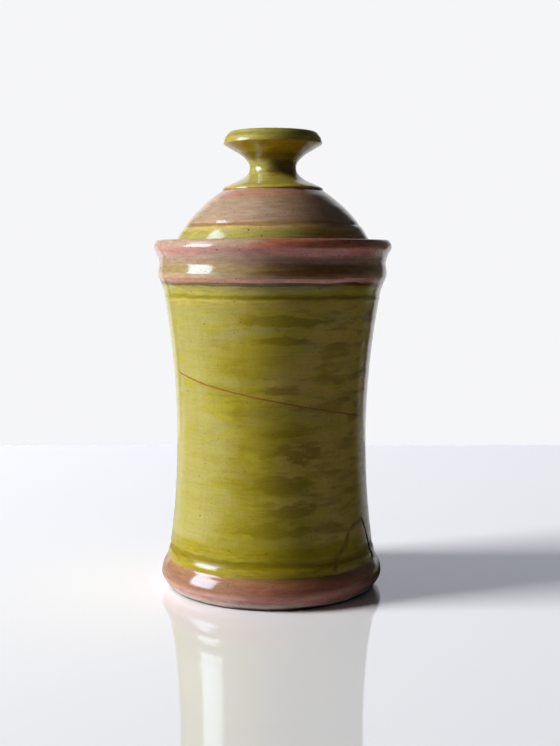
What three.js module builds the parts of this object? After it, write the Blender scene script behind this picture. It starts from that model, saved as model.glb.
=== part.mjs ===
// Lidded spice jar thrown in red clay: a waisted jar with an inner ledge, a domed lid and the knob on it.
import * as THREE from "three";

// Driving dimensions in millimetres, +Z up, table at height 0. Radii are measured from the jar's axis.

// Whole jar
const JAR_HEIGHT = 142.4; // from the table to the rim, without the lid

// Foot of the jar
const REST_RADIUS = 42.3; // outer edge of the ring that stands on the table
const REST_WIDTH = 9; // width of that ring
const RECESS_DEPTH = 1.6; // shallow hollow under the base, inside the ring
const FOOT_RADIUS = 45.8; // fullest part of the rounded foot
const FOOT_HEIGHT = 16.2; // from the table to where the foot has swept into the wall
const ANKLE_RADIUS = 42.25; // wall radius there
const STEP_WIDTH = 0.6; // small rounded step at the top of the foot
const STEP_HEIGHT = 0.5;
const STEP_BAND = 3.3; // nearly upright band under the step

// Wall of the jar
const WAIST_SHARE = 0.433; // how far up the waist lies, between the foot and the collar
const WAIST_RADIUS = 39.05;
const SHOULDER_RADIUS = 44.4; // wall radius just under the collar
const WALL_THICKNESS = 5.2;
const FLOOR_THICKNESS = 6.5;
const FLOOR_ROUND = 6; // radius between the floor and the wall inside

// Turned lines in the wall, where the glaze pools
const LINE_DEPTH = 0.3;
const LINE_WIDTH = 2.6;
const LINE_SHELF = 0.15; // share of that width below the deepest point
const LOW_LINE_GAP = 0.1; // plain wall between the foot and the low line
const HIGH_LINE_GAP = 0.4; // plain wall between the high line and the collar

// Collar and lip
const COLLAR_HEIGHT = 20.4; // from the top of the wall to the rim
const BEAD_SWELL = 2.3; // bead radius beyond the shoulder
const HOLLOW_SWELL = 1.8; // hollow between bead and lip, beyond the shoulder
const LIP_SWELL = 4.1; // lip radius beyond the shoulder
const RIM_SWELL = 1.9; // top of the rim, beyond the shoulder
const COLLAR_THICKNESS = 4.2; // at the hollow, down to the ledge inside

// Ledge inside the collar that carries the lid
const LEDGE_DROP = 6.4; // from the rim down to the ledge
const LEDGE_WIDTH = 6.5;
const THROAT_DEPTH = 6; // upright face under the ledge
const THROAT_BLEND = 12; // height over which the throat widens into the wall

// Lid
const SEAT_GAP = 0.3; // grit-thick gap between the lid and the ledge
const LID_PLAY = 1; // room round the lid inside the collar
const RING_PLAY = 1.2; // room round the lid's ring inside the throat
const RING_DEPTH = 8; // how far the ring reaches below the seat
const RING_THICKNESS = 4.3;
const LID_EDGE = 2; // upright edge of the lid above its seat
const BAND_RISE = 9; // from that edge to the ridge round the dome
const BAND_INSET = 4.85; // how far the ridge lies inside the edge
const BAND_BULGE = 0.35; // how far the band below the ridge swells beyond a straight cone
const DOME_RISE = 14.9; // from the ridge to the knob's base
const DOME_BULGE = 1; // how far the dome above the ridge swells beyond a straight cone
const DOME_THICKNESS = 4.6;
const HOLLOW_BULGE = 4.5; // swell of the hollow under the dome

// Knob
const SLIP_GAP = 0.3; // film of slip between the knob and the dome
const KNOB_BASE_RADIUS = 20.4;
const KNOB_BASE_EDGE = 0.5; // upright edge round the base
const KNOB_HEIGHT = 23.3; // from the base to the top
const KNOB_NECK_RADIUS = 9.5;
const KNOB_RADIUS = 20.25; // edge of the flare
const KNOB_TOP_RADIUS = 16.5; // rounded rim of the top
const KNOB_DISH = 1.4; // depth of the dished top

// Fineness of the faceted solids
const SEGMENTS = 48; // flat faces round each piece
const FINE_STEP = 1.4; // straight pieces along the curves of the outside
const PLAIN_STEP = 4; // and along those of the inside
const WALL_STEP = 10; // and along the long wall
const SAME_POINT = 0.01; // outline points closer than this count as one

// Heights and radii that follow from the sizes above
const rimZ = JAR_HEIGHT;
const collarZ = rimZ - COLLAR_HEIGHT;
const waistZ = between(FOOT_HEIGHT, collarZ, WAIST_SHARE);
const ledgeZ = rimZ - LEDGE_DROP;
const throatZ = ledgeZ - THROAT_DEPTH;
const floorZ = RECESS_DEPTH + FLOOR_THICKNESS;
const collarInside = SHOULDER_RADIUS + HOLLOW_SWELL - COLLAR_THICKNESS;
const throatRadius = collarInside - LEDGE_WIDTH;
const seatZ = ledgeZ + SEAT_GAP;
const lidRadius = collarInside - LID_PLAY;
const ringRadius = throatRadius - RING_PLAY;
const ringInside = ringRadius - RING_THICKNESS;
const edgeZ = seatZ + LID_EDGE;
const ridgeZ = edgeZ + BAND_RISE;
const domeTopZ = ridgeZ + DOME_RISE;
const knobZ = domeTopZ + SLIP_GAP;

// Outline helpers: an outline is a list of (radius, height) points
const at = (radius, height) => new THREE.Vector2(radius, height);

// Points along a curve, about one step apart
function stepped(curve, step) {
  return curve.getPoints(Math.ceil(curve.getLength() / step));
}

function smooth(points, step) {
  return stepped(new THREE.SplineCurve(points), step);
}

function corner(start, pull, end, step) {
  return stepped(new THREE.QuadraticBezierCurve(start, pull, end), step);
}

// A curve from start to end that swells to the right of its straight line by the given amount
function swelling(start, end, bulge, step) {
  const right = at(end.y - start.y, start.x - end.x).normalize();
  const pull = start.clone().lerp(end, 0.5).addScaledVector(right, bulge * 2);
  return corner(start, pull, end, step);
}

function between(low, high, share) {
  return low + (high - low) * share;
}

// A solid turned from an outline that starts and ends on the axis
function turned(name, outline, material) {
  const distinct = outline.filter((point, i) => i === 0 || point.distanceTo(outline[i - 1]) > SAME_POINT);
  const geometry = new THREE.LatheGeometry(distinct, SEGMENTS);
  geometry.rotateX(Math.PI / 2);
  const mesh = new THREE.Mesh(geometry, material);
  mesh.name = name;
  return mesh;
}

// Radius of the waisted wall: a parabola on each side of the waist
function wallRadius(height) {
  const above = height > waistZ;
  const endRadius = above ? SHOULDER_RADIUS : ANKLE_RADIUS;
  const endZ = above ? collarZ : FOOT_HEIGHT;
  const share = (height - waistZ) / (endZ - waistZ);
  return WAIST_RADIUS + (endRadius - WAIST_RADIUS) * share ** 2;
}

// The three points of a turned line in the wall, seen in section, from its lower edge up
function turnedLine(lowZ) {
  const deepZ = lowZ + LINE_WIDTH * LINE_SHELF;
  const highZ = lowZ + LINE_WIDTH;
  return [
    at(wallRadius(lowZ), lowZ),
    at(wallRadius(deepZ) - LINE_DEPTH, deepZ),
    at(wallRadius(highZ), highZ),
  ];
}

// A stretch of wall between two heights, moved inwards by the given amount
function wallStretch(fromZ, toZ, inset) {
  const steps = Math.ceil(Math.abs(toZ - fromZ) / WALL_STEP);
  const points = [];
  for (let i = 0; i <= steps; i++) {
    const height = between(fromZ, toZ, i / steps);
    points.push(at(wallRadius(height) - inset, height));
  }
  return points;
}

// Jar: underside, foot, wall and collar outside, then ledge, wall and floor inside
function jarOutline() {
  const restInside = REST_RADIUS - REST_WIDTH;
  const underside = [at(0, RECESS_DEPTH), at(restInside - RECESS_DEPTH, RECESS_DEPTH), at(restInside, 0)];

  const bandTop = at(ANKLE_RADIUS + STEP_WIDTH, FOOT_HEIGHT - STEP_HEIGHT);
  const bandFoot = at(ANKLE_RADIUS + STEP_WIDTH * 1.7, bandTop.y - STEP_BAND);
  const band = corner(bandFoot, bandTop, at(ANKLE_RADIUS, FOOT_HEIGHT), FINE_STEP / 2);
  const fullest = at(FOOT_RADIUS, FOOT_HEIGHT * 0.37);
  const foot = smooth([
    at(REST_RADIUS, 0),
    at(between(REST_RADIUS, FOOT_RADIUS, 0.76), FOOT_HEIGHT * 0.22),
    fullest,
    at(between(bandFoot.x, fullest.x, 0.64), between(bandFoot.y, fullest.y, 0.43)),
    bandFoot,
  ], FINE_STEP);

  const lowLineZ = FOOT_HEIGHT + LOW_LINE_GAP;
  const highLineZ = collarZ - HIGH_LINE_GAP - LINE_WIDTH;
  const wall = [
    ...turnedLine(lowLineZ),
    ...wallStretch(lowLineZ + LINE_WIDTH * 1.5, highLineZ - LINE_WIDTH / 2, 0),
    ...turnedLine(highLineZ),
  ];

  const lipZ = collarZ + COLLAR_HEIGHT * 0.86;
  const rimRadius = SHOULDER_RADIUS + RIM_SWELL;
  const lipInside = at(between(collarInside, rimRadius, 0.25), lipZ);
  const collar = smooth([
    at(SHOULDER_RADIUS, collarZ),
    at(SHOULDER_RADIUS + BEAD_SWELL * 0.45, collarZ + COLLAR_HEIGHT * 0.14),
    at(SHOULDER_RADIUS + BEAD_SWELL, collarZ + COLLAR_HEIGHT * 0.31),
    at(SHOULDER_RADIUS + HOLLOW_SWELL, collarZ + COLLAR_HEIGHT * 0.54),
    at(SHOULDER_RADIUS + between(HOLLOW_SWELL, LIP_SWELL, 0.42), collarZ + COLLAR_HEIGHT * 0.7),
    at(SHOULDER_RADIUS + LIP_SWELL, lipZ),
    at(rimRadius, rimZ),
    lipInside,
  ], FINE_STEP);
  const mouthPull = at(collarInside, between(ledgeZ, lipZ, 0.5));
  const mouth = corner(lipInside, mouthPull, at(collarInside, ledgeZ), FINE_STEP);

  const wallTopZ = throatZ - THROAT_BLEND;
  const inside = wallRadius(wallTopZ) - WALL_THICKNESS;
  const throatPull = at(inside, between(wallTopZ, throatZ, 0.5));
  const throat = corner(at(throatRadius, throatZ), throatPull, at(inside, wallTopZ), PLAIN_STEP);
  const innerWall = wallStretch(wallTopZ, floorZ + FLOOR_ROUND, WALL_THICKNESS);
  const floorRadius = wallRadius(floorZ + FLOOR_ROUND) - WALL_THICKNESS;
  const floor = corner(
    at(floorRadius, floorZ + FLOOR_ROUND),
    at(floorRadius, floorZ),
    at(floorRadius - FLOOR_ROUND, floorZ),
    PLAIN_STEP,
  );

  return [
    ...underside, ...foot, ...band, ...wall, ...collar, ...mouth,
    at(throatRadius, ledgeZ), ...throat, ...innerWall, ...floor, at(0, floorZ),
  ];
}

// Lid: roof and ring inside, then ring, seat and edge, the low band, its ridge and the dome outside
function lidOutline() {
  const ringZ = seatZ - RING_DEPTH;
  const roof = at(KNOB_BASE_RADIUS - DOME_THICKNESS, domeTopZ - DOME_THICKNESS);
  const hollow = swelling(at(ringInside, edgeZ), roof, HOLLOW_BULGE, PLAIN_STEP).reverse();
  const ridge = at(lidRadius - BAND_INSET, ridgeZ);
  const band = swelling(at(lidRadius, edgeZ), ridge, BAND_BULGE, FINE_STEP);
  const dome = swelling(ridge, at(KNOB_BASE_RADIUS, domeTopZ), DOME_BULGE, FINE_STEP);
  return [
    at(0, roof.y), ...hollow, at(ringInside, ringZ),
    at(ringRadius, ringZ), at(ringRadius, seatZ), at(lidRadius, seatZ),
    ...band, ...dome, at(0, domeTopZ),
  ];
}

// Knob: flat base, hollow neck, flare with its edge, bevel and a dished top
function knobOutline() {
  const neckZ = knobZ + KNOB_HEIGHT * 0.378;
  const flareZ = knobZ + KNOB_HEIGHT * 0.788;
  const topZ = knobZ + KNOB_HEIGHT;
  const baseFlare = (share) => between(KNOB_NECK_RADIUS, KNOB_BASE_RADIUS, share);
  const topFlare = (share) => between(KNOB_NECK_RADIUS, KNOB_RADIUS, share);
  const side = smooth([
    at(KNOB_BASE_RADIUS, knobZ + KNOB_BASE_EDGE),
    at(baseFlare(0.86), between(knobZ, neckZ, 0.17)),
    at(baseFlare(0.36), between(knobZ, neckZ, 0.44)),
    at(baseFlare(0.07), between(knobZ, neckZ, 0.73)),
    at(KNOB_NECK_RADIUS, neckZ),
    at(topFlare(0.06), between(neckZ, flareZ, 0.24)),
    at(topFlare(0.28), between(neckZ, flareZ, 0.51)),
    at(topFlare(0.58), between(neckZ, flareZ, 0.72)),
    at(topFlare(0.86), between(neckZ, flareZ, 0.9)),
    at(KNOB_RADIUS, flareZ),
  ], FINE_STEP);
  const topEdge = at(KNOB_TOP_RADIUS, topZ);
  const bevelPull = at(between(KNOB_TOP_RADIUS, KNOB_RADIUS, 0.6), topZ);
  const bevel = corner(at(KNOB_RADIUS, flareZ), bevelPull, topEdge, FINE_STEP);
  const dishPull = at(KNOB_TOP_RADIUS / 2, topZ - KNOB_DISH);
  const dish = corner(topEdge, dishPull, at(0, topZ - KNOB_DISH), PLAIN_STEP);
  return [at(0, knobZ), at(KNOB_BASE_RADIUS, knobZ), ...side, ...bevel, ...dish];
}

// Glazes over the red clay
const oliveGlaze = new THREE.MeshStandardMaterial({ color: 0xb3a64c, roughness: 0.2, metalness: 0 });
const roseGlaze = new THREE.MeshStandardMaterial({ color: 0xb8977d, roughness: 0.22, metalness: 0 });

// The jar and its lid, each piece under its own name
const group = new THREE.Group();
group.name = "spice_jar";
group.add(turned("jar_body", jarOutline(), oliveGlaze));
group.add(turned("lid_dome", lidOutline(), roseGlaze));
group.add(turned("lid_knob", knobOutline(), oliveGlaze));

export default group;
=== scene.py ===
import math
from typing import NamedTuple

import bpy
import numpy as np
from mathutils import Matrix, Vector


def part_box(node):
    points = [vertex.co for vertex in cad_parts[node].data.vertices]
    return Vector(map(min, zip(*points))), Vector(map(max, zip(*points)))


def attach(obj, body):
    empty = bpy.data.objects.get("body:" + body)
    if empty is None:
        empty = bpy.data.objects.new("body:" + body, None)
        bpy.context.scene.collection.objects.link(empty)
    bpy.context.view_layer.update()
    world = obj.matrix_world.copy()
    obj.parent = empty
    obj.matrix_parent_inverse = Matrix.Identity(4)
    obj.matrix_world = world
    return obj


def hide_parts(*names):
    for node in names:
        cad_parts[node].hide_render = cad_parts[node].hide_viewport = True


# Looks of the lidded spice jar: thrown red clay under olive and rose glazes, on a glossy white table.
# Lengths are in metres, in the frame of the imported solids: +Z up, camera on the -Y side, table at height 0.

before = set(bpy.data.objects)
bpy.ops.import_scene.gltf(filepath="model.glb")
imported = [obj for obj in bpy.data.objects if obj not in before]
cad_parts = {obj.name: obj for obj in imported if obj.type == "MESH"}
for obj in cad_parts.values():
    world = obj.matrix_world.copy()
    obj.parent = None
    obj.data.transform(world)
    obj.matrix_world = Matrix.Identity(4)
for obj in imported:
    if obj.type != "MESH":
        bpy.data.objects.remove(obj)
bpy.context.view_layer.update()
MM = 0.001

# Fineness of the turned meshes
ROUND = 224                    # faces round each piece
WALK = 0.15 * MM               # spacing of the points while an outline is smoothed
SOFT = 0.35 * MM               # how far the glaze rounds an edge
SOFT_REACH = 3 * SOFT          # and how far from the edge that is felt
BULGE = 0.22 * MM              # where a smooth curve would swell by more than this, an outline has a corner
BULGE_SHARE = 0.15             # swell of a smooth curve, as a share of its length times its turn
STEP = {"outside": 0.6 * MM, "inside": 2.5 * MM, "clay": 1.2 * MM}    # spacing of the rows in each zone
TURN_STEP = math.radians(9)    # and no coarser than this round a bend
MICRON = 1e-6                  # points of a solid are told apart to a micron
MICRON_DIGITS = 6

# The jar leans a little
LEAN = 0.7 * MM                # how far the foot stands to the left of the rim
LEAN_CURVE = 3                 # power of the height that this follows, so that it leans most near the rim
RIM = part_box("jar_body")[1].z


# Outlines of the solids

def outline_of(node):
    """The (radius, height) points of a turned node on its -Y side, from its lower end on the axis round to
    the upper one."""
    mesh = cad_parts[node].data
    place = {}
    for vertex in mesh.vertices:
        x, y, z = vertex.co
        if abs(x) < MICRON and y < MICRON:
            place[vertex.index] = (round(abs(y), MICRON_DIGITS), round(z, MICRON_DIGITS))
    beside = {}
    for edge in mesh.edges:
        a, b = (place.get(i) for i in edge.vertices)
        if a and b and a != b:
            beside.setdefault(a, []).append(b)
            beside.setdefault(b, []).append(a)
    here = min((p for p in beside if p[0] == 0), key=lambda p: p[1])
    walked = [here]
    while True:
        ahead = [p for p in beside[here] if p not in walked]
        if not ahead:
            return np.array(walked)
        here = ahead[0]
        walked.append(here)


def corners_of(outline):
    """Places of an outline's corners in its row of points, its two ends among them."""
    ahead = np.diff(outline, axis=0)
    length = np.linalg.norm(ahead, axis=1)
    heading = np.unwrap(np.arctan2(ahead[:, 1], ahead[:, 0]))
    swell = np.abs(np.diff(heading)) * np.maximum(length[1:], length[:-1]) * BULGE_SHARE
    return [0, *(np.flatnonzero(swell > BULGE) + 1), len(outline) - 1]


def curve_through(points):
    """A smooth curve through a stretch of outline, as closely spaced points."""
    gaps = np.linalg.norm(np.diff(points, axis=0), axis=1)
    along = np.concatenate(([0], np.cumsum(gaps)))
    slopes = np.gradient(points, along, axis=0)
    walk = np.linspace(0, along[-1], max(2, round(along[-1] / WALK)))
    i = np.clip(np.searchsorted(along, walk, side="right") - 1, 0, len(gaps) - 1)
    gap = gaps[i][:, None]
    t = (walk - along[i])[:, None] / gap
    start = (1 + 2 * t) * (1 - t) ** 2 * points[i] + t * (1 - t) ** 2 * gap * slopes[i]
    end = t ** 2 * (3 - 2 * t) * points[i + 1] + t ** 2 * (t - 1) * gap * slopes[i + 1]
    return start + end


def bell(away):
    """A bell curve, 1 at its middle. It is given the distance from there as a multiple of its width."""
    return np.exp(-0.5 * away ** 2)


def softened(points):
    """Round the edges of a line of points, with its two ends held on the axis."""
    reach = math.ceil(SOFT_REACH / WALK)
    weights = bell(np.arange(-reach, reach + 1) * WALK / SOFT)
    mirrored = np.array([-1, 1])
    padded = np.vstack((points[reach:0:-1] * mirrored, points, points[-2:-reach - 2:-1] * mirrored))
    return np.column_stack([np.convolve(padded[:, k], weights / weights.sum(), "valid") for k in (0, 1)])


def rows_of(node, zones, sink):
    """Radius, height and zone of each row of a turned mesh. Each zone runs on to the corner that it names.
    A flat base may be sunk into the piece below, where slip fills the joint."""
    line = []
    names = []
    outline = outline_of(node)
    ends = [(zone, np.argmin(np.linalg.norm(outline - corner, axis=1))) for zone, corner in zones]
    outline[:2, 1] -= sink
    corners = corners_of(outline)
    for a, b in zip(corners, corners[1:]):
        points = curve_through(outline[a:b + 1])
        line.append(points if not line else points[1:])
        names += [next(zone for zone, end in ends if b <= end)] * len(line[-1])
    line = softened(np.vstack(line))
    ahead = np.diff(line, axis=0)
    heading = np.unwrap(np.arctan2(ahead[:, 1], ahead[:, 0]))
    turn = np.abs(np.diff(heading, prepend=heading[0]))
    length = np.linalg.norm(ahead, axis=1)
    kept = [0]
    room = 0
    for i in range(1, len(line) - 1):
        room += length[i - 1] / STEP[names[i]] + turn[i] / TURN_STEP
        if room >= 1:
            kept.append(i)
            room = 0
    kept.append(len(line) - 1)
    return line[kept], [names[i] for i in kept]


# Turned meshes

class Rings(NamedTuple):
    """Marks of the potter's hands, which climb the clay as a spiral."""
    spacing: float
    depth: float
    start: float


class Line(NamedTuple):
    """A soft line turned into the outside, its depth below 0 where glaze has pooled in it."""
    height: float
    width: float
    depth: float


OUTSIDE_RINGS = (
    Rings(spacing=7.3 * MM, depth=0.04 * MM, start=0.4),
    Rings(spacing=4.1 * MM, depth=0.025 * MM, start=2.1),
    Rings(spacing=2.6 * MM, depth=0.012 * MM, start=4.0),
)
INSIDE_RINGS = (
    Rings(spacing=9.5 * MM, depth=0.22 * MM, start=1.2),
    Rings(spacing=5.2 * MM, depth=0.1 * MM, start=3.3),
)
CLAY_RINGS = (Rings(spacing=2.2 * MM, depth=0.03 * MM, start=0.8),)


def thrown(rings, height, angle):
    """Depth of the throwing marks, never above the plain surface."""
    return sum(ring.depth * (np.cos(math.tau * height / ring.spacing - angle + ring.start) - 1) / 2
               for ring in rings)


def turned(name, node, zones, lines, lean=0, sink=0):
    """A mesh turned from a node's outline, with throwing marks, turned lines and a material for each zone."""
    points, names = rows_of(node, zones, sink)
    along = np.gradient(points, axis=0)
    along /= np.linalg.norm(along, axis=1)[:, None]
    outward = np.column_stack((along[:, 1], -along[:, 0]))
    angle = np.arange(ROUND) * math.tau / ROUND
    radius, height = points[:, :1], points[:, 1:]
    in_zone = {zone: np.array([[n == zone] for n in names]) for zone in STEP}
    depth = in_zone["outside"] * thrown(OUTSIDE_RINGS, height, angle)
    depth += in_zone["inside"] * thrown(INSIDE_RINGS, radius + height, angle)
    depth += in_zone["clay"] * thrown(CLAY_RINGS, radius + height, angle)
    for line in lines:
        depth -= in_zone["outside"] * line.depth * bell((height - line.height) / line.width)
    depth[[0, -1]] = 0
    reach = radius + outward[:, :1] * depth
    level = height + outward[:, 1:] * depth
    shift = lean * ((level / RIM) ** LEAN_CURVE - 1)
    grid = np.stack((reach * np.sin(angle) + shift, -reach * np.cos(angle), level), axis=2)
    inner = grid[1:-1]
    vertices = np.vstack((grid[0, :1], inner.reshape(-1, 3), grid[-1, :1]))
    return mesh_of(name, vertices, len(inner), names)


def mesh_of(name, vertices, rows, names):
    """Join rings of vertices between the two points on the axis into one smooth mesh."""
    here = np.arange(ROUND)
    beside = (here + 1) % ROUND
    faces = [(0, 1 + b, 1 + a) for a, b in zip(here.tolist(), beside.tolist())]
    zones = [names[0]] * ROUND
    for row in range(rows - 1):
        low, high = 1 + row * ROUND, 1 + (row + 1) * ROUND
        faces += np.column_stack((low + here, low + beside, high + beside, high + here)).tolist()
        zones += [names[row + 1]] * ROUND
    last = 1 + (rows - 1) * ROUND
    top = len(vertices) - 1
    faces += [(last + a, last + b, top) for a, b in zip(here.tolist(), beside.tolist())]
    zones += [names[-1]] * ROUND
    mesh = bpy.data.meshes.new(name)
    mesh.from_pydata(vertices.tolist(), [], faces)
    mesh.polygons.foreach_set("use_smooth", [True] * len(faces))
    order = list(STEP)
    mesh.polygons.foreach_set("material_index", [order.index(zone) for zone in zones])
    return shown(name, mesh)


def shown(name, data):
    """A new object in the scene."""
    made = bpy.data.objects.new(name, data)
    bpy.context.scene.collection.objects.link(made)
    return made


# Node trees

MIX_SHARE, MIX_A, MIX_B = 0, 6, 7    # sockets of a node that mixes colours
MIX_RESULT = 2


class Tree:
    """A node tree, with short ways to add nodes and feed them."""

    def __init__(self, tree):
        self.tree = tree

    def node(self, kind, feeds=(), **settings):
        made = self.tree.nodes.new(kind)
        for key, value in settings.items():
            setattr(made, key, value)
        for key, value in dict(feeds).items():
            self.feed(made.inputs[key], value)
        return made

    def feed(self, socket, value):
        """Link a socket to another one, or set it to a plain value."""
        if isinstance(value, bpy.types.NodeSocket):
            self.tree.links.new(value, socket)
        elif socket.type == "RGBA":
            socket.default_value = (*value, 1)
        else:
            socket.default_value = value

    def math(self, operation, *values):
        return self.node("ShaderNodeMath", enumerate(values), operation=operation).outputs[0]

    def times(self, a, b):
        return self.math("MULTIPLY", a, b)

    def scaled(self, value, low, high, start, end):
        """The value, moved from the span low to high to the span start to end, and held there."""
        feeds = {"Value": value, "From Min": low, "From Max": high, "To Min": start, "To Max": end}
        return self.node("ShaderNodeMapRange", feeds).outputs[0]

    def share(self, mask, start, end):
        """A value that is start where the mask is 0, and end where it is 1."""
        return self.scaled(mask, 0.0, 1.0, start, end)

    def rise(self, value, low, high):
        """A soft step from 0 at low to 1 at high, which may be the lower of the two."""
        feeds = {"Value": value, "From Min": low, "From Max": high}
        return self.node("ShaderNodeMapRange", feeds, interpolation_type="SMOOTHSTEP").outputs[0]

    def mix(self, share, a, b, blend_type="MIX"):
        made = self.node("ShaderNodeMix", data_type="RGBA", blend_type=blend_type)
        for socket, value in ((MIX_SHARE, share), (MIX_A, a), (MIX_B, b)):
            self.feed(made.inputs[socket], value)
        return made.outputs[MIX_RESULT]

    def rays(self, *kinds):
        """1 for the named kinds of ray, 0 for others."""
        path = self.node("ShaderNodeLightPath").outputs
        hit = path[kinds[0]]
        for kind in kinds[1:]:
            hit = self.math("MAXIMUM", hit, path[kind])
        return hit


class Pattern(NamedTuple):
    """Noise in patches of about this width and height, which its seed moves to a place of its own.
    Marks made from it begin where the noise is at low, and are full where it is at high."""
    width: float
    tall: float
    seed: float
    detail: float = 2.0
    low: float = 0.2
    high: float = 0.8


class Specks(NamedTuple):
    """Small round specks about this far apart, the largest of them of this radius."""
    spacing: float
    radius: float


class Surface(Tree):
    """One procedural material, laid out over the place of each point on the object."""

    def __init__(self, name):
        self.material = bpy.data.materials.new(name)
        self.material.use_nodes = True
        super().__init__(self.material.node_tree)
        self.shader = self.tree.nodes["Principled BSDF"].inputs
        self.place = self.node("ShaderNodeTexCoord").outputs["Object"]
        self.x, self.y, self.height = self.node("ShaderNodeSeparateXYZ", {"Vector": self.place}).outputs

    def turn(self):
        """Angle round the axis from the front, positive to the right."""
        return self.math("ARCTAN2", self.x, self.times(self.y, -1.0))

    def towards(self, side):
        """1 on the side that is named, 0 at a right angle to it and below 0 on the far side."""
        return self.math("COSINE", self.math("SUBTRACT", self.turn(), side))

    def noise(self, pattern):
        """The noise of a pattern, from 0 to 1."""
        size = (1 / pattern.width, 1 / pattern.width, 1 / pattern.tall)
        feeds = {"Vector": self.place, "Location": (pattern.seed,) * 3, "Scale": size}
        place = self.node("ShaderNodeMapping", feeds).outputs[0]
        feeds = {"Vector": place, "Scale": 1.0, "Detail": pattern.detail}
        return self.node("ShaderNodeTexNoise", feeds).outputs["Fac"]

    def between(self, pattern, start, end):
        """The noise of a pattern, as a value that runs from start to end."""
        return self.scaled(self.noise(pattern), pattern.low, pattern.high, start, end)

    def swing(self, pattern, amount):
        """The noise of a pattern, as a value that swings about 0 by an amount."""
        return self.between(pattern, -amount, amount)

    def marks(self, pattern):
        """A mask of the marks of a pattern."""
        return self.rise(self.noise(pattern), pattern.low, pattern.high)

    def specks(self, specks, share):
        """A mask of specks from half the radius up to the whole of it, in a share of the cells of a foam."""
        cells = self.node("ShaderNodeTexVoronoi", {"Vector": self.place, "Scale": 1 / specks.spacing}).outputs
        chance = self.node("ShaderNodeSeparateColor", {"Color": cells["Color"]}).outputs
        largest = specks.radius / specks.spacing
        size = self.share(chance[1], largest / 2, largest)
        near = self.rise(self.math("DIVIDE", cells["Distance"], size), 1.0, 0.5)
        return self.times(near, self.math("LESS_THAN", chance[0], share))

    def bands(self, height, stops, shade_share):
        """Colours by height: each stop is a height, and the colours of the glaze there, as they are and as
        painted shade.
        """
        lit_stops, shaded_stops = ([(level, pair[k]) for level, pair in stops] for k in (0, 1))
        return self.mix(shade_share, self.ramp(height, lit_stops), self.ramp(height, shaded_stops))

    def ramp(self, height, stops):
        low, high = stops[0][0], stops[-1][0]
        made = self.node("ShaderNodeValToRGB", {"Fac": self.scaled(height, low, high, 0.0, 1.0)})
        ramp = made.color_ramp.elements
        while len(ramp) < len(stops):
            ramp.new(0.5)
        for element, (level, colour) in zip(ramp, stops):
            element.position = (level - low) / (high - low)
            element.color = (*colour, 1)
        return made.outputs["Color"]

    def toned(self, colour, tone):
        """The colour made darker or lighter by a factor."""
        grey = self.node("ShaderNodeCombineColor", dict.fromkeys(("Red", "Green", "Blue"), tone)).outputs[0]
        return self.mix(1.0, colour, grey, "MULTIPLY")

    def bump(self, height, distance):
        self.feed(self.shader["Normal"], self.node(
            "ShaderNodeBump", {"Height": height, "Distance": distance}).outputs[0])


# Colours of the glazes over red clay, as they are under white light
# a milkier glaze and painted sheen in one: laid on the side of the wall that faces the light
MILKY_AND_SHEEN = (0.51, 0.455, 0.125)
OLIVE = (0.445, 0.365, 0.03)
OCHRE = (0.53, 0.415, 0.04)
KHAKI = (0.64, 0.46, 0.095)
YELLOW = (0.52, 0.45, 0.04)
SAGE = (0.475, 0.42, 0.14)
DEEP_OLIVE = (0.34, 0.265, 0.01)
BROWN_STROKE = (0.32, 0.215, 0.025)
MOSS = (0.40, 0.32, 0.16)
ROSE_STREAK = (0.58, 0.30, 0.21)
LINER = (0.34, 0.25, 0.05)
SPECK = (0.07, 0.05, 0.02)
CRACK = (0.34, 0.135, 0.02)
SHARP_LINE_DARK = (0.012, 0.009, 0.004)
FAINT_LINE_DARK = (0.08, 0.055, 0.0)
CLAY = (0.36, 0.165, 0.09)
CLAY_DARK = (0.26, 0.11, 0.06)

# Colours of the bands in pairs: the glaze as it is, and a copy for the right of the front, turned from the
# light, that is mostly darker and browner as painted shade and lighter in a few bands
WALL = (OLIVE, OLIVE)
HIGH_WALL = ((0.56, 0.47, 0.10), (0.54, 0.40, 0.06))
DARK_LINE = ((0.38, 0.315, 0.03), (0.25, 0.18, 0.0))
COLLAR_OLIVE = ((0.55, 0.475, 0.10), (0.46, 0.36, 0.03))
DULL_OLIVE = ((0.49, 0.425, 0.11), (0.29, 0.21, 0.0))
# grey olive glaze, darkened further as painted shade under the bead
GREY_OLIVE_AND_SHADE = ((0.24, 0.185, 0.07), (0.09, 0.055, 0.0))
ROSE = ((0.60, 0.315, 0.22), (0.94, 0.46, 0.36))
TAN_EDGE = ((0.52, 0.41, 0.25), (0.24, 0.105, 0.045))
# painted highlight: a pale pink line along the top of the rose bead
BEAD_TOP_HIGHLIGHT = ((0.70, 0.43, 0.30), (0.44, 0.175, 0.10))
OLIVE_TAN = ((0.42, 0.305, 0.135), (0.16, 0.085, 0.015))
TAN = ((0.50, 0.355, 0.235), (0.36, 0.21, 0.155))
PALE_TAN = ((0.58, 0.42, 0.30), (0.50, 0.28, 0.205))
MAUVE = ((0.70, 0.395, 0.33), (0.70, 0.255, 0.225))
PALE_MAUVE = ((0.66, 0.36, 0.29), (0.80, 0.31, 0.25))
LIP = ((0.56, 0.38, 0.27), (0.53, 0.16, 0.09))
POOL = ((0.29, 0.22, 0.0), (0.28, 0.20, 0.0))
LOW_OLIVE = ((0.42, 0.345, 0.025), (0.38, 0.295, 0.005))
PALE_OLIVE = ((0.435, 0.345, 0.035), (0.39, 0.295, 0.01))
DARK_RUST = ((0.44, 0.225, 0.12), (0.24, 0.115, 0.035))
RUST = ((0.40, 0.205, 0.12), (0.395, 0.145, 0.078))
FOOT_PINK = ((0.72, 0.40, 0.34), (0.70, 0.26, 0.215))
# painted light: the foot's lower edge made pale as if lit by the table below
FOOT_EDGE_BOUNCE_LIGHT = ((0.90, 0.70, 0.60), (0.86, 0.60, 0.52))
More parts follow.
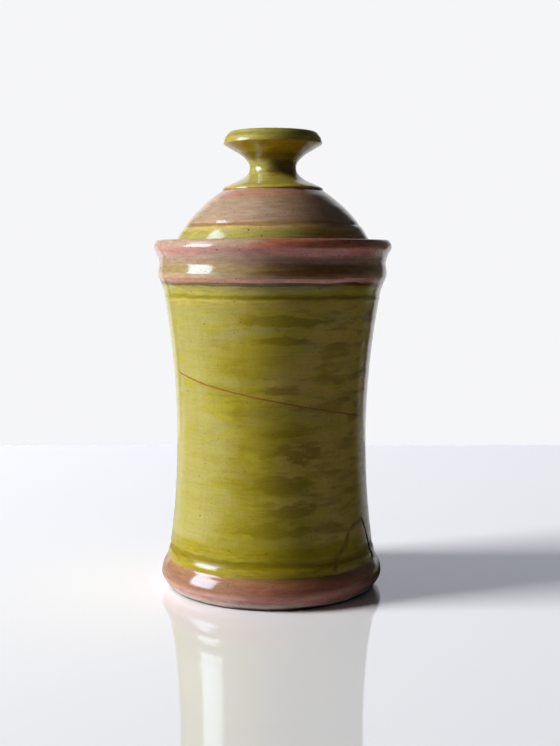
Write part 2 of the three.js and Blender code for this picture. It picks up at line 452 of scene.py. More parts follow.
# painted shadow: near black where the foot meets the table
CONTACT_SHADOW = ((0.008, 0.007, 0.006), (0.008, 0.007, 0.006))
DUSTY_PINK = ((0.54, 0.385, 0.26), (0.415, 0.25, 0.145))
WARM_PINK = ((0.54, 0.28, 0.19), (0.50, 0.25, 0.165))
PALE_PINK = ((0.57, 0.37, 0.25), (0.40, 0.235, 0.15))
BROWN = ((0.41, 0.25, 0.095), (0.40, 0.235, 0.085))
# painted highlight: a pale line along the lid's ridge
LID_RIDGE_HIGHLIGHT = ((0.66, 0.51, 0.17), (0.48, 0.34, 0.10))
LID_OLIVE = ((0.48, 0.425, 0.11), (0.335, 0.285, 0.06))
KNOB_EDGE = ((0.54, 0.44, 0.095), (0.59, 0.45, 0.07))
KNOB_OLIVE = ((0.44, 0.39, 0.09), (0.39, 0.335, 0.045))
KNOB_STRIPE = ((0.35, 0.30, 0.055), (0.32, 0.265, 0.04))
# its copy for the side turned from the light is dark: painted shadow of the flare on the neck
NECK_OLIVE = ((0.41, 0.365, 0.095), (0.165, 0.11, 0.015))
# painted shade: the dark band just above the neck, where the flare's shadow falls
KNOB_PAINTED_SHADE = ((0.27, 0.17, 0.0), (0.25, 0.15, 0.01))
KNOB_BROWN = ((0.50, 0.34, 0.0), (0.44, 0.265, 0.01))
KNOB_ORANGE = ((0.52, 0.40, 0.08), (0.41, 0.28, 0.06))


# Finish that all glazes share

GRAIN = Pattern(0.6 * MM, 0.45 * MM, seed=3.1, detail=3.0)
BRUSHED = Pattern(22 * MM, 0.9 * MM, seed=7.7)
UNEVEN = Pattern(3.2 * MM, 1.6 * MM, seed=5.3)
DULLER = Pattern(9 * MM, 4 * MM, seed=11.3, low=0.3, high=0.7)
PINHOLES = (Specks(2.4 * MM, 0.45 * MM), Specks(1.5 * MM, 0.3 * MM))
DARKEST = 0.65                 # tone of a glaze that has no grain and no brush marks
GRAIN_TONE = 0.5               # what these add to it at most
BRUSHED_TONE = 0.2
PINHOLE_SHARE = 0.85           # how far a pinhole hides the colour of the glaze
ROUGHNESS = (0.10, 0.16)       # of a glaze, and of its duller patches
GLAZE_IOR = 1.55
SPECULAR = 0.5                 # specular level of a glaze that isn't dry
DRY_ROUGH = 0.26               # how much rougher a dry glaze is
DRY_DULL = 0.3                 # and how much of its specular level it has lost
RELIEF = 0.07 * MM             # depth of the bump, and shares of it
UNEVEN_RELIEF = 0.4
GRAIN_RELIEF = 0.2
PINHOLE_RELIEF = 0.8
CRACK_RELIEF = 0.4


def glaze(s, colour, pitted, cracks=None, dry=None):
    """Finish a glossy glaze: fine grain, pinholes in a share of it, dry areas and bump over its colours."""
    grain = s.noise(GRAIN)
    brushed = s.math("MULTIPLY_ADD", s.noise(BRUSHED), BRUSHED_TONE, DARKEST)
    colour = s.toned(colour, s.math("MULTIPLY_ADD", grain, GRAIN_TONE, brushed))
    pinholes = s.math("MAXIMUM", *(s.specks(specks, pitted) for specks in PINHOLES))
    s.feed(s.shader["Base Color"], s.mix(s.times(pinholes, PINHOLE_SHARE), colour, SPECK))
    rough = s.between(DULLER, *ROUGHNESS)
    if dry is not None:
        rough = s.math("MULTIPLY_ADD", dry, DRY_ROUGH, rough)
        s.feed(s.shader["Specular IOR Level"], s.math("MULTIPLY_ADD", dry, -DRY_DULL, SPECULAR))
    s.feed(s.shader["Roughness"], rough)
    s.shader["IOR"].default_value = GLAZE_IOR
    relief = s.math("MULTIPLY_ADD", s.noise(UNEVEN), UNEVEN_RELIEF, s.times(grain, GRAIN_RELIEF))
    relief = s.math("SUBTRACT", relief, s.times(pinholes, PINHOLE_RELIEF))
    if cracks is not None:
        relief = s.math("SUBTRACT", relief, s.times(cracks, CRACK_RELIEF))
    s.bump(relief, RELIEF)


# Bands of the brush

SMUDGES = Pattern(5 * MM, 0.9 * MM, seed=15.2, detail=4.0, low=0.25, high=0.75)
SMUDGE_TONE = (0.8, 1.2)
WAVES = Pattern(16 * MM, 16 * MM, seed=1.9)
STREAKS = Pattern(14 * MM, 1.1 * MM, seed=4.4, detail=3.0)
STREAK_REACH = 1.6             # how much further a streak moves the edge of a band than a wave does
# uneven edge of the painted shade on the side turned from the light
SHADE_WOBBLE = Pattern(16 * MM, 2.2 * MM, seed=7.3, detail=3.0)
SHADE_WOBBLE_SWING = 0.1
SHADE_EDGE = (0.7, 1.0)         # where the painted-shade colours begin and are full, as cosines of the turn from their side


def smudged(s, colour):
    """Bands with the small smudges and drags of the brush in them."""
    return s.toned(colour, s.between(SMUDGES, *SMUDGE_TONE))


def wobbled(s, amount):
    """Height with the uneven edge and the streaks that a hand-held brush leaves."""
    wave = s.swing(WAVES, amount)
    streak = s.swing(STREAKS, STREAK_REACH * amount)
    return s.math("ADD", s.height, s.math("ADD", wave, streak))


def shaded_side_share(s, side):
    """How much of the painted-shade copy of the band colours is laid on, from 0 to 1: it grows unevenly
    towards the side turned from the light.
    """
    uneven = s.swing(SHADE_WOBBLE, SHADE_WOBBLE_SWING)
    return s.rise(s.math("ADD", s.towards(side), uneven), *SHADE_EDGE)


def stops_of(*bands):
    """Stops from bands, each a pair of colours and the heights in mm where it starts and ends, or one height
    where it is only passed."""
    return [(level * MM, pair) for pair, *levels in bands for level in levels]


JAR_BANDS = stops_of(
    # painted contact shadow along the bottom of the foot
    (CONTACT_SHADOW, 0.0, 0.8),
    # painted bounce light on the foot's lower edge
    (FOOT_EDGE_BOUNCE_LIGHT, 1.2, 2.3),
    (FOOT_PINK, 3.3, 5.0),
    (RUST, 6.5, 9.8),
    (DARK_RUST, 11.2, 12.4),
    (PALE_OLIVE, 13.0, 15.6),
    (POOL, 16.3, 18.2),
    (LOW_OLIVE, 19.0, 23.0),
    (WALL, 25.0, 112.0),
    (HIGH_WALL, 115.0, 119.0),
    (DARK_LINE, 119.7, 120.6),
    (COLLAR_OLIVE, 121.3),
)
COLLAR_BANDS = stops_of(
    (COLLAR_OLIVE, 121.3, 122.4),
    (DULL_OLIVE, 123.8, 124.3),
    # dark line under the bead, partly painted shade
    (GREY_OLIVE_AND_SHADE, 124.7, 125.6),
    (ROSE, 125.9, 127.2),
    # painted highlight along the top of the bead
    (BEAD_TOP_HIGHLIGHT, 127.6, 128.0),
    (TAN_EDGE, 128.4, 128.9),
    (OLIVE_TAN, 129.6, 132.0),
    (TAN, 133.4, 134.4),
    (PALE_TAN, 135.3, 135.6),
    (MAUVE, 136.2, 137.6),
    (PALE_MAUVE, 138.3, 138.9),
    (LIP, 139.5, 142.4),
)
LID_BANDS = stops_of(
    (LID_OLIVE, 136.0, 145.2),
    # painted highlight along the ridge
    (LID_RIDGE_HIGHLIGHT, 146.4, 147.0),
    (BROWN, 147.6, 148.4),
    (PALE_PINK, 148.9),
    (DUSTY_PINK, 149.6, 157.6),
    (WARM_PINK, 159.2, 162.2),
)
KNOB_BANDS = stops_of(
    (BROWN, 162.4),
    (KNOB_EDGE, 162.8, 163.5),
    (KNOB_OLIVE, 164.2, 167.0),
    (NECK_OLIVE, 169.0, 173.6),
    # painted shade under the flare
    (KNOB_PAINTED_SHADE, 174.6, 176.2),
    (KNOB_BROWN, 177.4, 180.2),
    (KNOB_ORANGE, 180.8, 181.8),
    (KNOB_OLIVE, 182.6),
    (KNOB_STRIPE, 183.0, 184.0),
    (KNOB_OLIVE, 184.6, 185.8),
)


# Glaze of the jar

JAR_WOBBLE = 0.3 * MM
JAR_SHADED_SIDE = math.radians(23)            # where the painted shade of the bands is fullest, on the side turned from the light
WALL_FOOT = (22 * MM, 26 * MM)         # heights over which the bands of the foot give way to the wall's glaze
WALL_TOP = (119 * MM, 115 * MM)        # and, downwards, those of the collar
PITTED = (119 * MM, 125 * MM)          # heights over which pinholes become more common
PITTED_SHARE = (0.13, 0.5)             # share of the places for pinholes that have one, below and above
LEDGE_FOOT = (15.6 * MM, 16.6 * MM)    # between these heights, on the ledge over the foot, the glaze is dry
LEDGE_TOP = (20.4 * MM, 19.4 * MM)
LIP_DRY = (139.6 * MM, 140.6 * MM)     # and on the lip, above these
LIP_DRY_SHARE = 0.5                    # but only this much
SHARP_LINE_DRY = SPECULAR / DRY_DULL        # the sharp dark line is so dry that it has no gloss
CRACK_SHARE = 0.9                      # how far the crack hides the colour of the glaze


def jar_glaze():
    """Brushed olive with a painted milky sheen on its lit side, rose and tan bands with painted shade,
    highlight, contact shadow and bounce light, a fine crack and two dark lines that meet at a tip.
    """
    s = Surface("jar_glaze")
    wall = s.times(s.rise(s.height, *WALL_FOOT), s.rise(s.height, *WALL_TOP))
    colour = s.mix(wall, smudged(s, jar_bands(s)), wall_colour(s))
    crack = fine_crack(s)
    colour = s.mix(s.times(crack, CRACK_SHARE), colour, CRACK)
    faint_mask, sharp_mask = tip_lines(s)
    colour = s.mix(sharp_mask, s.mix(faint_mask, colour, FAINT_LINE_DARK), SHARP_LINE_DARK)
    pitted = s.share(s.rise(s.height, *PITTED), *PITTED_SHARE)
    glaze(s, colour, pitted, s.math("MAXIMUM", crack, sharp_mask), jar_dryness(s, sharp_mask))
    return s.material


def jar_bands(s):
    """Bands from the foot to the lip, on two ramps because one can't hold so many stops."""
    level = wobbled(s, JAR_WOBBLE)
    # share of painted shade, on the side turned from the light
    shade_share = shaded_side_share(s, JAR_SHADED_SIDE)
    collar_foot = COLLAR_BANDS[0][0]
    on_collar = s.math("GREATER_THAN", level, collar_foot)
    return s.mix(on_collar, s.bands(level, JAR_BANDS, shade_share), s.bands(level, COLLAR_BANDS, shade_share))


def jar_dryness(s, sharp_mask):
    """Where the glaze is dry: on the ledge over the foot, a little on the lip, and in the sharp dark line."""
    ledge = s.times(s.rise(s.height, *LEDGE_FOOT), s.rise(s.height, *LEDGE_TOP))
    lip = s.times(s.rise(s.height, *LIP_DRY), LIP_DRY_SHARE)
    return s.math("MAXIMUM", s.math("MAXIMUM", ledge, lip), s.times(sharp_mask, SHARP_LINE_DRY))


# Brushwork of the wall

MILKY_SHEEN_SIDE = math.radians(-75)         # where the milky colour, partly painted sheen, is fullest: the side that faces the light
KHAKI_SIDE = math.radians(55)          # and where the wall turns khaki, on the right of the front
MILKY_SHEEN_EDGE = (0.45, 0.9)               # where each begins and is full, as cosines of the turn from its side
KHAKI_EDGE = (0.5, 0.9)
CLOUDS = Pattern(26 * MM, 14 * MM, seed=2.3, detail=3.0)
CLOUD_SWING = 0.3                      # how far clouds move those edges
UPPER_WALL = (86 * MM, 112 * MM)       # heights over which the upper part of the wall begins
UPPER_MILKY_SHEEN = 0.12                     # how far that moves the edge of the milky sheen
SAGE_PATCHES = Pattern(24 * MM, 9 * MM, seed=12.7, detail=3.0, low=0.50, high=0.62)
SAGE_SHARE = (0.25, 0.6)               # low on the wall, and in its upper part
YELLOW_PATCHES = Pattern(14 * MM, 5 * MM, seed=4.9, detail=3.0, low=0.55, high=0.63)
YELLOW_SHARE = 0.6
STROKES = Pattern(17 * MM, 4.2 * MM, seed=6.1, detail=3.0, low=0.45, high=0.69)
STROKE_SHARE = (0.65, 0.85)            # in the olive and in the khaki glaze
STROKE_SHOWN = (0.85, 0.12)            # how far strokes and daubs show, and how far through the milky sheen
DASHES = Pattern(7 * MM, 1.7 * MM, seed=8.8, detail=3.0, low=0.57, high=0.66)
DASH_SHOWN = (0.45, 0.14)
RUNS = Pattern(2.2 * MM, 45 * MM, seed=3.7, detail=3.0, low=0.45, high=0.75)
RUN_SHARE = 0.14


def wall_colour(s):
    """Olive that is milky on the side facing the light, partly glaze and partly painted sheen, and khaki
    round the front to the right, with patches, strokes and dashes, and faint runs.
    """
    clouds = s.swing(CLOUDS, CLOUD_SWING)
    upper = s.rise(s.height, *UPPER_WALL)
    # the milky colour, partly painted sheen, fades in from the side that faces the light
    milky_sheen = s.math("ADD", s.towards(MILKY_SHEEN_SIDE), s.math("MULTIPLY_ADD", upper, UPPER_MILKY_SHEEN, clouds))
    milky_sheen = s.rise(milky_sheen, *MILKY_SHEEN_EDGE)
    khaki = s.rise(s.math("ADD", s.towards(KHAKI_SIDE), clouds), *KHAKI_EDGE)
    wall = s.mix(khaki, s.mix(milky_sheen, s.mix(upper, OLIVE, OCHRE), MILKY_AND_SHEEN), KHAKI)
    wall = s.mix(s.times(s.marks(SAGE_PATCHES), s.share(upper, *SAGE_SHARE)), wall, SAGE)
    wall = s.mix(s.times(s.marks(YELLOW_PATCHES), YELLOW_SHARE), wall, YELLOW)
    strokes = s.times(s.marks(STROKES), s.share(khaki, *STROKE_SHARE))
    for daub in DAUBS:
        strokes = s.math("MAXIMUM", strokes, daubed(s, daub))
    dark = s.mix(khaki, DEEP_OLIVE, BROWN_STROKE)
    wall = s.mix(s.times(strokes, s.share(milky_sheen, *STROKE_SHOWN)), wall, dark)
    wall = s.mix(s.times(s.marks(DASHES), s.share(milky_sheen, *DASH_SHOWN)), wall, dark)
    return s.mix(s.times(s.marks(RUNS), RUN_SHARE), wall, DEEP_OLIVE)


class Daub(NamedTuple):
    """A dark daub of the brush: its turn from the front, its height, and half of how wide and tall it is."""
    turn: float
    level: float
    wide: float
    tall: float


DAUBS = (
    Daub(turn=math.radians(6), level=111 * MM, wide=20 * MM, tall=2.2 * MM),
    Daub(turn=math.radians(4), level=103.7 * MM, wide=12 * MM, tall=1.7 * MM),
    Daub(turn=math.radians(2), level=85 * MM, wide=8 * MM, tall=1.9 * MM),
    Daub(turn=math.radians(5), level=67.8 * MM, wide=10 * MM, tall=1.7 * MM),
    Daub(turn=math.radians(12), level=60 * MM, wide=13 * MM, tall=3.6 * MM),
    Daub(turn=math.radians(4), level=48.2 * MM, wide=13 * MM, tall=3.9 * MM),
    Daub(turn=math.radians(45), level=80 * MM, wide=5 * MM, tall=1.7 * MM),
    Daub(turn=math.radians(9), level=37.8 * MM, wide=11 * MM, tall=2.4 * MM),
    Daub(turn=math.radians(2), level=31 * MM, wide=14 * MM, tall=3.2 * MM),
)
DAUB_RAGGED = Pattern(7 * MM, 2.2 * MM, seed=9.1, detail=4.0)
DAUB_ENDS = 0.5                        # how ragged its ends are, as a share of its upper and lower edges
DAUB_EDGE = (1.3, 0.4)                 # where it begins and is full, as squared distances from its middle
WALL_RADIUS = 39.05 * MM


def daubed(s, daub):
    """A mask of one daub of the brush, with ragged and streaky edges."""
    ragged = s.swing(DAUB_RAGGED, 1.0)
    across = s.times(s.math("SUBTRACT", s.turn(), daub.turn), WALL_RADIUS / daub.wide)
    across = s.math("MULTIPLY_ADD", ragged, DAUB_ENDS, across)
    upward = s.math("ADD", s.times(s.math("SUBTRACT", s.height, daub.level), 1 / daub.tall), ragged)
    away = s.math("ADD", s.times(across, across), s.times(upward, upward))
    return s.rise(away, *DAUB_EDGE)


# The crack falls as it goes round the front of the wall, from the left to the right of it
CRACK_HEIGHT = 80.94 * MM              # at the front
CRACK_FALL = 7.815 * MM                # for each radian
CRACK_EDGE = (0.48 * MM, 0.18 * MM)    # distances from its middle where it begins and is full
CRACK_ENDS = (math.radians(-68), math.radians(63))
CRACK_FADE = math.radians(5)
CRACK_BENDS = Pattern(5 * MM, 5 * MM, seed=8.2)
CRACK_WANDER = 0.2 * MM


def fine_crack(s):
    """A mask of the one hairline that runs round the front."""
    angle = s.turn()
    middle = s.math("MULTIPLY_ADD", angle, -CRACK_FALL, CRACK_HEIGHT)
    wander = s.swing(CRACK_BENDS, CRACK_WANDER)
    away = s.math("ABSOLUTE", s.math("SUBTRACT", s.height, s.math("ADD", middle, wander)))
    start = s.rise(angle, CRACK_ENDS[0] - CRACK_FADE, CRACK_ENDS[0] + CRACK_FADE)
    end = s.rise(angle, CRACK_ENDS[1] + CRACK_FADE, CRACK_ENDS[1] - CRACK_FADE)
    return s.times(s.rise(away, *CRACK_EDGE), s.times(start, end))


# Two dark lines low on the right of the wall that meet at a tip: one sharp and black, one faint and ragged

def on_wall(degrees, level):
    """Turn and height of a place on the wall, from degrees and mm."""
    return math.radians(degrees), level * MM


LINES_TIP = on_wall(63, 31)
SHARP_LINE_FOOT = on_wall(74, 11.5)
SHARP_LINE = (LINES_TIP, on_wall(67.5, 26.5), on_wall(72, 18), SHARP_LINE_FOOT)
FAINT_LINE = (
    LINES_TIP, on_wall(54.5, 29.5), on_wall(48, 27.5), on_wall(44.5, 22.5), on_wall(37, 18), on_wall(35, 14),
)
LINES_RADIUS = 41.5 * MM               # of the wall there
LINE_BENDS = Pattern(4 * MM, 4 * MM, seed=13.6, detail=3.0)
LINE_WANDER = 0.8 * MM
FAR = 1.0                              # farther than any place on the jar
FAINT_HALF = 1.9 * MM                 # half the width of the faint line, which is soft
FAINT_RAGGED = Pattern(3.5 * MM, 2.5 * MM, seed=10.3, detail=3.0, low=0.35, high=0.65)
FAINT_SHARE = (0.25, 0.75)            # how far it shows, where it is faintest and where it is plainest
SHARP_CORE = 0.5                        # share of the sharp line's width that is fully dark
SHARP_HALF = 1.5 * MM                   # half its width where it is widest, and at its top and at its foot
SHARP_TOP_HALF = 0.7 * MM
SHARP_FOOT_HALF = 0.2 * MM
WIDEST_LOW = 14 * MM                     # it narrows from this height up to its top
WIDEST_HIGH = 15 * MM                    # and from this one down to its foot
BELOW_FOOT = MM                        # it is narrowest this far below its last bend


def tip_lines(s):
    """Masks of the faint and ragged line, and of the sharp line, which widens and narrows."""
    faint_mask = wall_line_mask(s, FAINT_LINE, FAINT_HALF, 0.0)
    faint_mask = s.times(faint_mask, s.between(FAINT_RAGGED, *FAINT_SHARE))
    top_half = s.scaled(s.height, LINES_TIP[1], WIDEST_LOW, SHARP_TOP_HALF, SHARP_HALF)
    foot_half = s.scaled(s.height, SHARP_LINE_FOOT[1] - BELOW_FOOT, WIDEST_HIGH, SHARP_FOOT_HALF, SHARP_HALF)
    sharp_mask = wall_line_mask(s, SHARP_LINE, s.math("MINIMUM", top_half, foot_half), SHARP_CORE)
    return faint_mask, sharp_mask


def wall_line_mask(s, bends, half_width, core):
    """A mask of a line that runs over the wall from bend to bend, full in the core of its width."""
    across = s.times(s.turn(), LINES_RADIUS)
    upward = s.math("ADD", s.height, s.swing(LINE_BENDS, LINE_WANDER))
    nearest = FAR
    places = [Vector((turn * LINES_RADIUS, level)) for turn, level in bends]
    for start, end in zip(places, places[1:]):
        middle = (start + end) / 2
        way = (end - start).normalized()
        gone = distance_along(s, across, upward, middle, way)
        beside = distance_along(s, across, upward, middle, way.orthogonal())
        beyond = s.math("SUBTRACT", gone, (end - start).length / 2)
        nearest = s.math("MINIMUM", nearest, s.math("MAXIMUM", beyond, beside))
    return s.rise(s.math("DIVIDE", nearest, half_width), 1.0, core)


def distance_along(s, across, upward, middle, way):
    """How far a point of the wall is from a middle, along one way over the wall."""
    gone = s.math("MULTIPLY_ADD", upward, way.y, -middle.dot(way))
    return s.math("ABSOLUTE", s.math("MULTIPLY_ADD", across, way.x, gone))


# Glaze of the lid

LID_WOBBLE = 0.3 * MM
LID_SHADED_SIDE = math.radians(32)            # where the painted shade of the bands is fullest, on the side turned from the light
LID_PITTED = 0.4                       # share of pinholes
DOME = (148.6 * MM, 150 * MM)          # heights over which the streaks of the dome begin
ROSE_STREAKS = Pattern(15 * MM, 1.5 * MM, seed=5.9, detail=3.0, low=0.50, high=0.66)
MOSS_STREAKS = Pattern(18 * MM, 1.8 * MM, seed=1.4, detail=3.0, low=0.48, high=0.66)
DOME_STREAK_SHARE = 0.4


def lid_glaze():
    """Dusty rose dome over an olive band, with moss and rose streaks of the brush on the dome, a painted
    highlight along the band's ridge and painted shade on the side turned from the light.
    """
    s = Surface("lid_glaze")
    bands = smudged(s, s.bands(wobbled(s, LID_WOBBLE), LID_BANDS, shaded_side_share(s, LID_SHADED_SIDE)))
    dome = s.mix(s.times(s.marks(MOSS_STREAKS), DOME_STREAK_SHARE), bands, MOSS)
    dome = s.mix(s.times(s.marks(ROSE_STREAKS), DOME_STREAK_SHARE), dome, ROSE_STREAK)
    glaze(s, s.mix(s.rise(s.height, *DOME), bands, dome), LID_PITTED)
    return s.material


# Glaze of the knob

KNOB_WOBBLE = 0.25 * MM
KNOB_SHADED_SIDE = math.radians(25)           # where the painted shade of the glaze is fullest
KNOB_PITTED = 0.4                      # share of pinholes
KNOB_DRY = (181.6 * MM, 182.3 * MM)    # heights over which it becomes dry


def knob_glaze():
    """Olive glaze, browner under the flare, with thinner glaze on the edges, painted shade under the flare
    and on the side turned from the light, and dry on the top.
    """
    s = Surface("knob_glaze")
    bands = smudged(s, s.bands(wobbled(s, KNOB_WOBBLE), KNOB_BANDS, shaded_side_share(s, KNOB_SHADED_SIDE)))
    glaze(s, bands, KNOB_PITTED, dry=s.rise(s.height, *KNOB_DRY))
    return s.material


# Glaze inside the jar and the lid

LINER_CLOUDS = Pattern(20 * MM, 6 * MM, seed=9.4, detail=3.0, low=0.35, high=0.65)
LINER_PITTED = 0.2                     # share of pinholes


def liner_glaze():
    """Thin olive-brown glaze."""
    s = Surface("liner_glaze")
    glaze(s, s.mix(s.marks(LINER_CLOUDS), LINER, OLIVE), LINER_PITTED)
    return s.material


# Clay on the seats and under the base

CLAY_GRAIN = Pattern(0.5 * MM, 0.5 * MM, seed=2.7, detail=4.0)
CLAY_CLOUDS = Pattern(11 * MM, 11 * MM, seed=6.6)
CLAY_TONES = (0.7, 1.3)                # sums of the two between which dark clay turns to pale
GROG = Specks(2.2 * MM, 0.35 * MM)
GROG_CELLS = 0.3                       # share of the places for grog that have some
GROG_SHARE = 0.6                       # how far it hides the colour of the clay
CLAY_ROUGHNESS = 0.82
CLAY_RELIEF = 0.12 * MM


def bare_clay():
    """Unglazed red clay with grog."""
    s = Surface("bare_clay")
    grain = s.noise(CLAY_GRAIN)
    colour = s.mix(s.rise(s.math("ADD", grain, s.noise(CLAY_CLOUDS)), *CLAY_TONES), CLAY_DARK, CLAY)
    grog = s.times(s.specks(GROG, GROG_CELLS), GROG_SHARE)
    s.feed(s.shader["Base Color"], s.mix(grog, colour, CLAY_DARK))
    s.shader["Roughness"].default_value = CLAY_ROUGHNESS
    s.bump(grain, CLAY_RELIEF)
    return s.material


# The three pieces

liner = liner_glaze()
clay = bare_clay()


def dressed(piece, node, body, outside):
    """Give a piece its materials, in the order of the zones, and its place in the frame."""
    for material in (outside, liner, clay):
        piece.data.materials.append(material)
    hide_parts(node)
    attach(piece, body)


JAR_LINES = (
    Line(height=135.6 * MM, width=0.5 * MM, depth=0.08 * MM),
    Line(height=132.9 * MM, width=0.4 * MM, depth=0.06 * MM),
    Line(height=6.4 * MM, width=0.5 * MM, depth=0.08 * MM),
    Line(height=119.4 * MM, width=0.55 * MM, depth=-0.16 * MM),
    Line(height=16.7 * MM, width=0.5 * MM, depth=-0.1 * MM),
)
LID_LINES = (Line(height=148.4 * MM, width=0.45 * MM, depth=0.2 * MM),)
KNOB_LINES = (Line(height=184.4 * MM, width=0.35 * MM, depth=0.12 * MM),)
KNOB_SINK = 1 * MM

# Zones of each outline from its lower end on the axis: (zone, radius and height of the corner where it ends)
JAR_ZONES = (
    ("clay", (42.3 * MM, 0)),
    ("outside", (42 * MM, 136 * MM)),
    ("clay", (35.5 * MM, 130 * MM)),
    ("inside", (0, 8.1 * MM)),
)
LID_ZONES = (
    ("inside", (30 * MM, 128.3 * MM)),
    ("clay", (41 * MM, 136.3 * MM)),
    ("outside", (20.4 * MM, 162.2 * MM)),
    ("clay", (0, 162.2 * MM)),
)
KNOB_ZONES = (
    ("clay", (20.4 * MM, 162.5 * MM)),
    ("outside", (0, 185.2 * MM)),
)

jar = turned("jar_glazed", "jar_body", JAR_ZONES, JAR_LINES, LEAN)
dressed(jar, "jar_body", "jar", jar_glaze())
lid = turned("lid_glazed", "lid_dome", LID_ZONES, LID_LINES)
dressed(lid, "lid_dome", "lid", lid_glaze())
knob = turned("knob_glazed", "lid_knob", KNOB_ZONES, KNOB_LINES, sink=KNOB_SINK)
dressed(knob, "lid_knob", "lid", knob_glaze())


# White table, backdrop and surroundings

TABLE_SIDE = 1.6
TABLE_FRONT = -1.2
TABLE_BACK = 0.346
TABLE_LEVEL = -0.1 * MM
TABLE_WHITE = (0.91, 0.91, 0.93)
TABLE_BOUNCED = (0.46, 0.445, 0.44)    # its colour for the light that it throws on the jar
TABLE_MIRRORED = (0.70, 0.70, 0.71)    # and as the glaze mirrors it, close to the jar
DARK_ROOM = (0.03, 0.03, 0.03)         # and far from the jar
LIT_REACH = (0.26, 0.18)               # distances from the jar over which far turns to close
LIT_BEHIND = (-0.05, 0.09)             # behind the jar the mirrored table turns white, over this distance
LIT_WEDGE = 0.6                        # and it does so farther back by this for each metre to the side
TABLE_SHEEN = (0.94, 0.97, 1.07)       # colour of what the table mirrors
SHEEN_PLAIN = 0.174                    # how much it mirrors at any slant
SHEEN_SLANT = 0.58                     # and the share of the Fresnel reflection that is added
TABLE_IOR = 1.5
TABLE_ROUGHNESS = 0.03
BACKDROP_SIDE = 0.9
BACKDROP_BACK = 1.2
BACKDROP_FOOT = -0.6
BACKDROP_TOP = 1.6
BACK_WHITE = (0.92, 0.922, 0.94)
AMBIENT = 0.025                        # how bright the backdrop and the room are as light on the jar
ROOM = 0.06                            # how bright the glaze mirrors the room
MIDDLE_LIT = (0.75, 0.4)               # half widths over which the mirrored backdrop goes from room to white
FOOT_LIT = (0.45, 0.12)                # and heights over which it does so, downwards


def sheet_of(name, corners, material):
    """A flat sheet that isn't part of the jar."""
    mesh = bpy.data.meshes.new(name)
    mesh.from_pydata(corners, [], [(0, 1, 2, 3)])
    mesh.materials.append(material)
    shown(name, mesh)


def table_white():
    """Glossy white board. The light that it throws back on the jar is dimmer than it looks to the camera."""
    s = Surface("table_white")
    away = s.node("ShaderNodeVectorMath", {"Vector": s.place}, operation="LENGTH").outputs["Value"]
    near = s.rise(away, *LIT_REACH)
    behind = s.rise(s.math("MULTIPLY_ADD", s.math("ABSOLUTE", s.x), -LIT_WEDGE, s.y), *LIT_BEHIND)
    mirrored = s.mix(behind, s.mix(near, DARK_ROOM, TABLE_MIRRORED), TABLE_WHITE)
    thrown_back = s.mix(s.rays("Is Glossy Ray"), TABLE_BOUNCED, mirrored)
    colour = s.mix(s.rays("Is Camera Ray"), thrown_back, TABLE_WHITE)
    base = s.node("ShaderNodeBsdfDiffuse", {"Color": colour}).outputs[0]
    slant = s.node("ShaderNodeFresnel", {"IOR": TABLE_IOR}).outputs[0]
    sheen = s.times(s.math("MULTIPLY_ADD", slant, SHEEN_SLANT, SHEEN_PLAIN), s.rays("Is Camera Ray"))
    sheen = s.mix(sheen, (0, 0, 0), TABLE_SHEEN)
    coat = s.node("ShaderNodeBsdfGlossy", {"Color": sheen, "Roughness": TABLE_ROUGHNESS}).outputs[0]
    both = s.node("ShaderNodeAddShader", enumerate((base, coat))).outputs[0]
    s.feed(s.tree.nodes["Material Output"].inputs["Surface"], both)
    return s.material


def backdrop_white():
    """Wall that the camera and the glaze see as white, and that hardly lights the jar."""
    s = Surface("backdrop_white")
    lit = s.math("MAXIMUM", s.rise(s.math("ABSOLUTE", s.x), *MIDDLE_LIT), s.rise(s.height, *FOOT_LIT))
    mirrored = s.times(s.rays("Is Glossy Ray", "Is Transmission Ray"), s.share(lit, ROOM, 1.0))
    seen = s.math("MAXIMUM", s.rays("Is Camera Ray"), mirrored)
    strength = s.math("MAXIMUM", seen, AMBIENT)
    light = s.node("ShaderNodeEmission", {"Color": BACK_WHITE, "Strength": strength}).outputs[0]
    s.feed(s.tree.nodes["Material Output"].inputs["Surface"], light)
    return s.material


def surroundings():
    """White behind everything for the camera, and a dim room for the rest."""
    world = bpy.data.worlds.new("studio")
    world.use_nodes = True
    sky = Tree(world.node_tree)
    ground = world.node_tree.nodes["Background"].inputs
    sky.feed(ground["Color"], BACK_WHITE)
    mirrored = sky.share(sky.rays("Is Glossy Ray"), AMBIENT, ROOM)
    sky.feed(ground["Strength"], sky.math("MAXIMUM", sky.rays("Is Camera Ray"), mirrored))
    bpy.context.scene.world = world


sheet_of("table", [(x, y, TABLE_LEVEL) for x, y in (
    (-TABLE_SIDE, TABLE_FRONT), (TABLE_SIDE, TABLE_FRONT),
    (TABLE_SIDE, TABLE_BACK), (-TABLE_SIDE, TABLE_BACK))], table_white())
sheet_of("backdrop", [(x, BACKDROP_BACK, z) for x, z in (
    (-BACKDROP_SIDE, BACKDROP_FOOT), (BACKDROP_SIDE, BACKDROP_FOOT),
    (BACKDROP_SIDE, BACKDROP_TOP), (-BACKDROP_SIDE, BACKDROP_TOP))], backdrop_white())
surroundings()


# Light from a window on the left: a core that lights, and panes that only the glaze mirrors

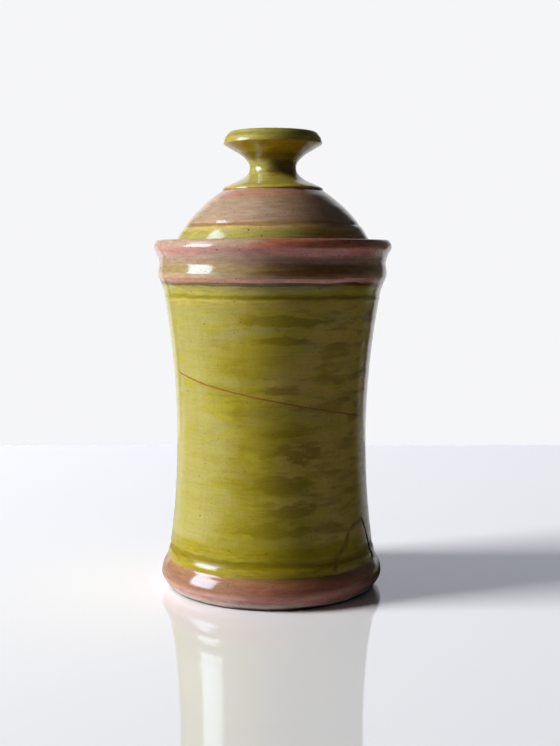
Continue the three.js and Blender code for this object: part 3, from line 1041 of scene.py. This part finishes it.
class Window(NamedTuple):
    """A lamp as the jar sees it: its turn from the camera's side round to the left, its rise over the table,
    its width and its height, all in degrees, and its power."""
    turn: float
    rise: float
    wide: float
    tall: float
    power: float


WINDOW_CORE = Window(turn=80, rise=24.5, wide=20, tall=16, power=14.1)
WINDOW_PANE = Window(turn=77, rise=20, wide=28, tall=30, power=11.0)
UPPER_PANE = Window(turn=88, rise=43, wide=17, tall=12, power=1.8)
PANE_COLOUR = (0.76, 0.92, 1.12)
LAMP_AWAY = 3.2
LAMP_AIM = Vector((0, 0, 0.09))


def lamp_of(name, window):
    """An area lamp in the place of a window, aimed at the middle of the jar."""
    turn, rise = math.radians(window.turn), math.radians(window.rise)
    wide, tall = math.radians(window.wide), math.radians(window.tall)
    lamp = shown(name, bpy.data.lights.new(name, "AREA"))
    lamp.data.shape = "RECTANGLE"
    lamp.data.size = 2 * LAMP_AWAY * math.tan(wide / 2)
    lamp.data.size_y = 2 * LAMP_AWAY * math.tan(tall / 2)
    lamp.data.energy = window.power * LAMP_AWAY ** 2
    level = math.cos(rise)
    way = Vector((-math.sin(turn) * level, -math.cos(turn) * level, math.sin(rise)))
    lamp.location = LAMP_AIM + way * LAMP_AWAY
    lamp.rotation_euler = way.to_track_quat("Z", "Y").to_euler()
    lamp.visible_camera = False
    return lamp


core = lamp_of("window_core", WINDOW_CORE)
core.visible_glossy = False
for name, window in (("window_pane", WINDOW_PANE), ("window_upper_pane", UPPER_PANE)):
    pane = lamp_of(name, window)
    pane.data.color = PANE_COLOUR
    pane.visible_diffuse = False


# Camera of the photo

CAMERA_PLACE = (0.0029, -0.470, 0.1358)
CAMERA_DOWN = 5.84             # degrees that it looks down
CAMERA_LENS = 55.15

camera = shown("camera", bpy.data.cameras.new("camera"))
camera.location = CAMERA_PLACE
camera.rotation_euler = (math.radians(90 - CAMERA_DOWN), 0, 0)
camera.data.lens = CAMERA_LENS
bpy.context.scene.camera = camera
bpy.context.scene.view_settings.view_transform = "Standard"
